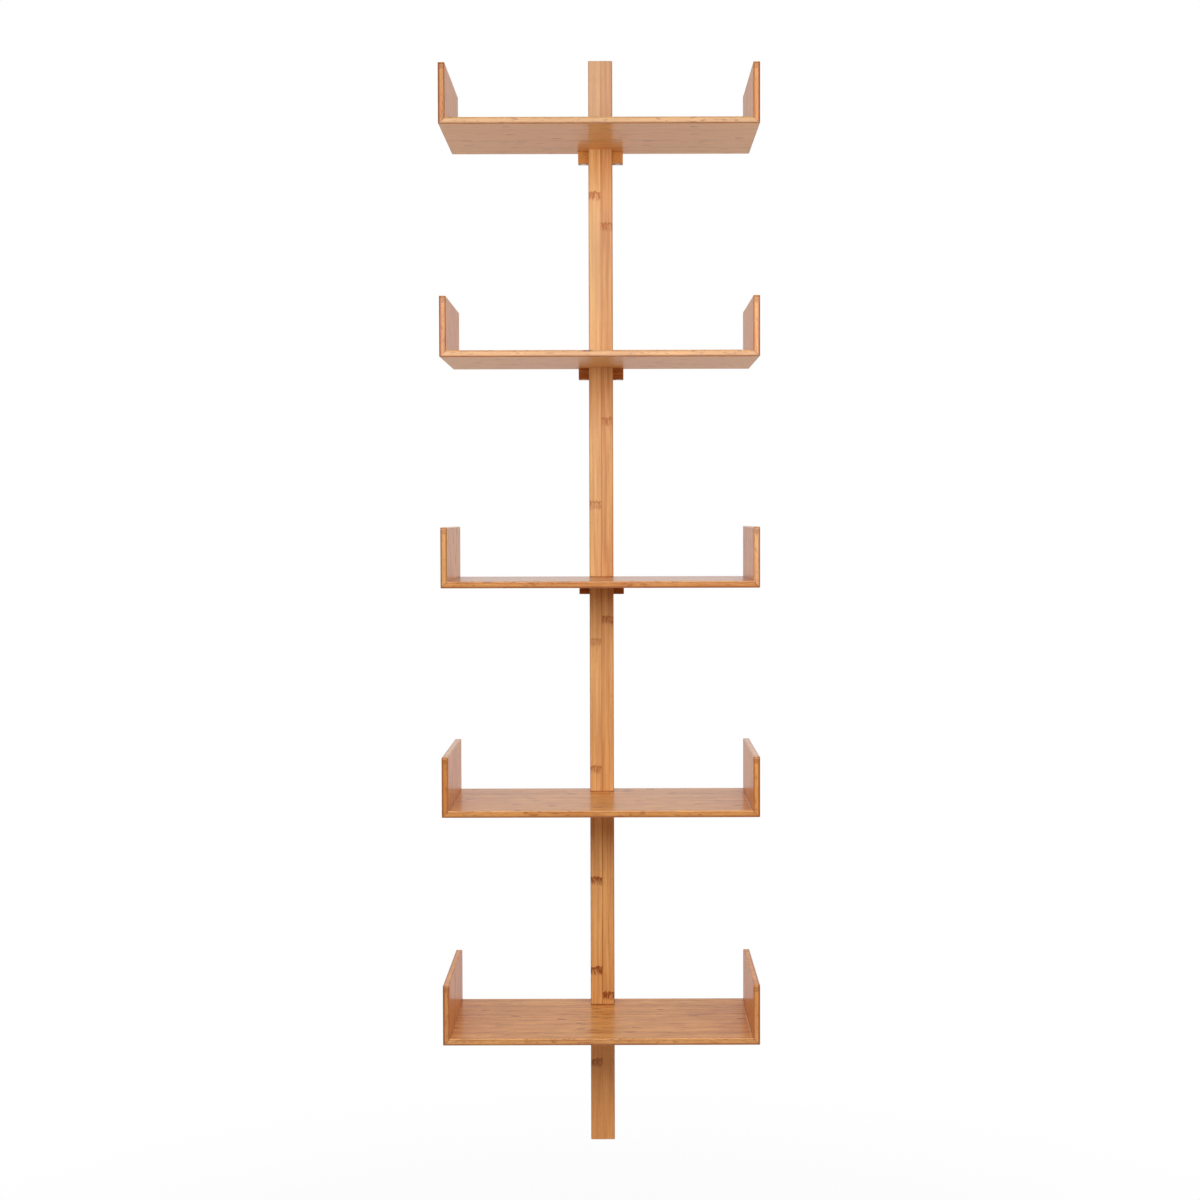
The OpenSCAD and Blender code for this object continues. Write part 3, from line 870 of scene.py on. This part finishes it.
def screws():
    """All the screws: two up into each board, one through each block, two in each plate."""
    material = zinc_screw()
    half_turn, forward = Matrix.Rotation(pi, 4, "X"), Matrix.Rotation(-pi / 2, 4, "X")
    # The board screws stand in the middle of the block's ears, beside the post
    ear = (post_half + block_box[1].x) / 2
    block_middle = (block_box[0].y + block_box[1].y) / 2
    drive_screws(wood_screw("board screw", *BOARD_SCREW), "board_screws", {
        f"board_screw_{i}_{name}": (side * ear, block_middle, z - block_height)
        for i, z in zip(TRAYS, undersides) for name, side in zip(SIDES, (-1, 1))
    }, half_turn, material)
    drive_screws(wood_screw("block screw", *BLOCK_SCREW), "block_screws", {
        f"block_screw_{i}": (0, 0, z - block_height / 2) for i, z in zip(TRAYS, undersides)
    }, forward, material)
    places = {}
    for name in PLATES:
        low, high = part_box(f"hanger_{name}")
        places[f"hanger_screw_{name}_top"] = (0, 0, high.z / MM - PLATE_END)
        places[f"hanger_screw_{name}_bottom"] = (0, 0, low.z / MM + PLATE_END)
    drive_screws(wood_screw("plate screw", *PLATE_SCREW), "hanger_screws", places, forward,
                 material)


def rolled_plate(cad_node):
    """A keyhole plate at the origin, with its stamped arrises rolled over on a copy of its mesh."""
    plate = bpy.data.objects.new("plate", nodes[cad_node].data.copy())
    bpy.context.scene.collection.objects.link(plate)
    plate.data.transform(Matrix.Translation(-Vector(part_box(cad_node)[0])))
    merge_points(plate)
    bpy.ops.object.mode_set(mode="EDIT")
    bpy.ops.mesh.dissolve_limited(angle_limit=radians(2))
    bpy.ops.object.mode_set(mode="OBJECT")
    rolled = plate.modifiers.new("rolled", "BEVEL")
    rolled.width, rolled.segments = 0.2 * MM, 2
    rolled.limit_method, rolled.angle_limit = "ANGLE", radians(40)
    # The arcs' short edges would otherwise hold the width down to under 0.1 mm
    rolled.use_clamp_overlap = False
    bpy.ops.object.modifier_apply(modifier="rolled")
    bpy.ops.object.shade_smooth_by_angle(angle=radians(35))
    return plate


def keyhole_plates():
    """The two keyhole plates, copies of one."""
    material = steel_sheet()
    model = rolled_plate("hanger_upper")
    for name in PLATES:
        plate = bpy.data.objects.new(f"keyhole_plate_{name}", model.data.copy())
        bpy.context.scene.collection.objects.link(plate)
        plate.data.transform(Matrix.Translation(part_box(f"hanger_{name}")[0]))
        set_piece(plate, f"hanger_{name}", material)
    bpy.data.objects.remove(model)


# Stage

def surroundings():
    """White surroundings, which light the shelf softly."""
    world = bpy.data.worlds.new("studio")
    bpy.context.scene.world = world
    world.use_nodes = True
    tree = world.node_tree
    tree.nodes.clear()
    add = partial(node, tree)
    ray = add("LightPath").node.outputs
    toward = add("TexCoord", out="Generated")
    # Gloss shows the white backdrop, and to the front the dimmer room beside the camera
    ahead = add("SeparateXYZ", [toward]).node.outputs[1]
    backdrop = add("MapRange", {0: ahead, 1: -0.9, 2: -0.3, 3: 0.25, 4: 1.0})
    shine = add("Math", [ray["Is Glossy Ray"], backdrop], operation="MULTIPLY")
    seen = add("Math", [ray["Is Camera Ray"], ray["Is Transmission Ray"]], operation="ADD")
    seen = add("Math", [seen, shine], operation="ADD", use_clamp=True)
    # The lit backdrop makes the light fuller from above and behind than from the front
    lean = add("VectorMath", {0: toward, 1: (0, 0.77, 0.64)}, 1, operation="DOT_PRODUCT")
    soft = add("MapRange", {0: lean, 1: -0.8, 2: 0.8, 3: 0.05, 4: 0.4})
    strength = add("Mix", {0: seen, 2: soft, 3: 1.0})
    sky = add("Background", {"Color": (1, 1, 1, 1), "Strength": strength})
    add("OutputWorld", {"Surface": sky})


def lamp(name, width, height, power, place):
    """A soft lamp, aimed at the second tray from the top; its sizes are in metres."""
    light = bpy.data.lights.new(name, "AREA")
    light.shape = "RECTANGLE"
    light.size, light.size_y = width, height
    light.energy = power
    body = bpy.data.objects.new(name, light)
    body.location = place
    aim = Vector((0, 0, 0.2)) - body.location
    body.rotation_euler = aim.to_track_quat("-Z", "Y").to_euler()
    bpy.context.scene.collection.objects.link(body)
    return body


def lamps():
    """A soft lamp in front, and one on each side that doesn't glare in the varnish."""
    lamp("key lamp", 1.4, 1.0, 20.4, (0, -1.8, 0.58))
    for name, x in (("left lamp", -1.3), ("right lamp", 1.3)):
        lamp(name, 0.8, 0.6, 9.2, (x, -1.6, 0.35)).visible_glossy = False


def paper_floor():
    """The pale floor: paper that shows white to the camera, apart from the shelf's shadow.

    It lies 0.4 m below the shelf, which hangs.
    """
    bpy.ops.mesh.primitive_plane_add(size=5, location=(0, 0, -1.2))
    floor = bpy.context.object
    floor.name = "floor"
    material, tree = new_material("seamless paper, matt white (floor)")
    add = partial(node, tree)
    place = add("TexCoord", out="Object")
    away = add("VectorMath", [place], 1, operation="LENGTH")
    ray = add("LightPath").node.outputs
    seen = add("Math", [ray["Is Camera Ray"], ray["Is Glossy Ray"]], operation="ADD")
    seen = add("Math", [seen, ray["Is Transmission Ray"]], operation="ADD", use_clamp=True)
    white = add("MapRange", {0: away, 1: 0.5, 2: 1.5, 3: 0.92, 4: 1.0})
    share = add("Math", [white, seen], operation="MULTIPLY")
    fibre = add("TexNoise", {"Vector": place, "Scale": 400.0, "Detail": 2.0})
    tint = add("Mix", {0: fibre, 6: linear("#F1F1F0"), 7: linear("#F7F7F6")}, 2,
               data_type="RGBA")
    paper = add("BsdfDiffuse", {"Color": tint})
    glow = add("Emission", {"Color": (1, 1, 1, 1), "Strength": 1.0})
    add("OutputMaterial", {"Surface": add("MixShader", [share, paper, glow])})
    floor.data.materials.append(material)


def camera():
    """The camera of the photograph: nearly level, a little above the middle tray.

    Its lens, place and tilt were found from the corners of the trays in the photograph.
    """
    data = bpy.data.cameras.new("camera")
    data.sensor_width = 36
    data.lens = 56.79
    data.shift_x, data.shift_y = -0.0166, -0.0171
    eye = bpy.data.objects.new("camera", data)
    eye.location = (0.0229, -2.5659, 0.0295)
    eye.rotation_euler = (radians(88.094), radians(0.141), radians(-0.044))
    bpy.context.scene.collection.objects.link(eye)
    bpy.context.scene.camera = eye


# The scene

bpy.context.scene.view_settings.view_transform = "Standard"
camera()
surroundings()
lamps()
paper_floor()
dress(post_bamboo(), "post")
dress(board_bamboo(), *[f"board_{i}" for i in TRAYS])
dress(panel_bamboo(), *[f"{side}_panel_{i}" for side in SIDES for i in TRAYS])
dress(block_bamboo(), *[f"cross_block_{i}" for i in TRAYS])
dress(tongue_wood(), *[f"{side}_tongue_{i}" for side in SIDES for i in TRAYS])
screws()
keyhole_plates()
